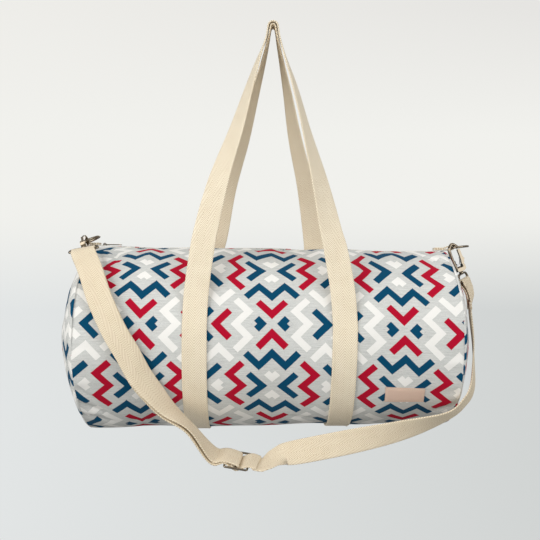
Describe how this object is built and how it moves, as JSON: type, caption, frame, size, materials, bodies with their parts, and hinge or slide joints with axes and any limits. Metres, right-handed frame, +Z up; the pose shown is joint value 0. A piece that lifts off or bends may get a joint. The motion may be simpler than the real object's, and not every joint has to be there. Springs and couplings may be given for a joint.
{
  "type": "gym bag",
  "caption": "Barrel-shaped cloth gym bag with round ends, a top zip, webbing handles and a clip-on adjustable shoulder strap.",
  "frame": {"origin": "the point under the raised handles where a hook would carry the bag", "axes": "+X along the barrel, +Y towards the back of the bag, +Z up; the bag hangs below the origin"},
  "size_m": [0.5308, 0.2499, 0.567],
  "materials": {
    "printed_cloth": "matte cotton, printed",
    "webbing": "cream herringbone cotton",
    "nickel": "polished nickel plate",
    "zip_tape": "woven tape with a nylon coil",
    "label_cloth": "matte woven label"
  },
  "bodies": {
    "bag": {"main_panel": "printed_cloth", "end_panel_left": "printed_cloth", "end_panel_right": "printed_cloth", "zip_tape_front": "zip_tape", "zip_tape_back": "zip_tape", "handle_front": "webbing", "handle_back": "webbing", "ring_tab_left": "webbing", "ring_tab_right": "webbing", "shoulder_strap": "webbing", "hook_eye_left": "nickel", "hook_eye_right": "nickel", "side_label": "label_cloth"},
    "zip_slider": {"zip_slider": "nickel"},
    "zip_pull": {"zip_pull": "nickel"},
    "d_ring_left": {"d_ring_left": "nickel"},
    "d_ring_right": {"d_ring_right": "nickel"},
    "hook_left": {"hook_body_left": "nickel", "gate_pin_left": "nickel", "gate_spring_left": "nickel"},
    "hook_right": {"hook_body_right": "nickel", "gate_pin_right": "nickel", "gate_spring_right": "nickel"},
    "gate_left": {"hook_gate_left": "nickel"},
    "gate_right": {"hook_gate_right": "nickel"},
    "tri_glide": {"tri_glide": "nickel"}
  },
  "joints": [
    {"name": "zip_slide", "type": "slide", "parent": "bag", "child": "zip_slider", "axis": [0.9999, 0, -0.0141], "range_m": [0, 0.39]},
    {"name": "zip_pull_turn", "type": "hinge", "parent": "zip_slider", "child": "zip_pull", "pos_m": [-0.22096, 0, -0.28657], "axis": [0, -1, 0], "range_deg": [0, 105]},
    {"name": "ring_left_turn", "type": "hinge", "parent": "bag", "child": "d_ring_left", "pos_m": [-0.2495, 0, -0.2843], "axis": [0, 1, 0], "range_deg": [-3, 4]},
    {"name": "ring_right_turn", "type": "hinge", "parent": "bag", "child": "d_ring_right", "pos_m": [0.2335, 0, -0.2909], "axis": [0, 1, 0], "range_deg": [-34, 28]},
    {"name": "hook_left_swivel", "type": "hinge", "parent": "bag", "child": "hook_left", "pos_m": [-0.23915, -0.0474, -0.2913], "axis": [-0.1043, 0.9479, 0.3009], "range_deg": [-12, 12]},
    {"name": "hook_right_swivel", "type": "hinge", "parent": "bag", "child": "hook_right", "pos_m": [0.24456, -0.01321, -0.32164], "axis": [-0.33, 0, 0.944], "range_deg": [-5, 12]},
    {"name": "gate_left_turn", "type": "hinge", "parent": "hook_left", "child": "gate_left", "pos_m": [-0.2417, -0.04302, -0.28472], "axis": [0.9288, -0.0153, 0.3702], "range_deg": [-25, 0], "stiffness_Nm_per_rad": 0.02, "springref_deg": 20.05, "deforming": ["gate_spring_left"]},
    {"name": "gate_right_turn", "type": "hinge", "parent": "hook_right", "child": "gate_right", "pos_m": [0.24718, -0.01149, -0.31395], "axis": [-0.3067, 0.9457, -0.1072], "range_deg": [-25, 0], "stiffness_Nm_per_rad": 0.02, "springref_deg": 20.05, "deforming": ["gate_spring_right"]},
    {"name": "adjuster_slide", "type": "slide", "parent": "bag", "child": "tri_glide", "axis": [0.9826, -0.1209, -0.1411], "range_m": [-0.02, 0.02], "deforming": ["shoulder_strap"]}
  ]
}
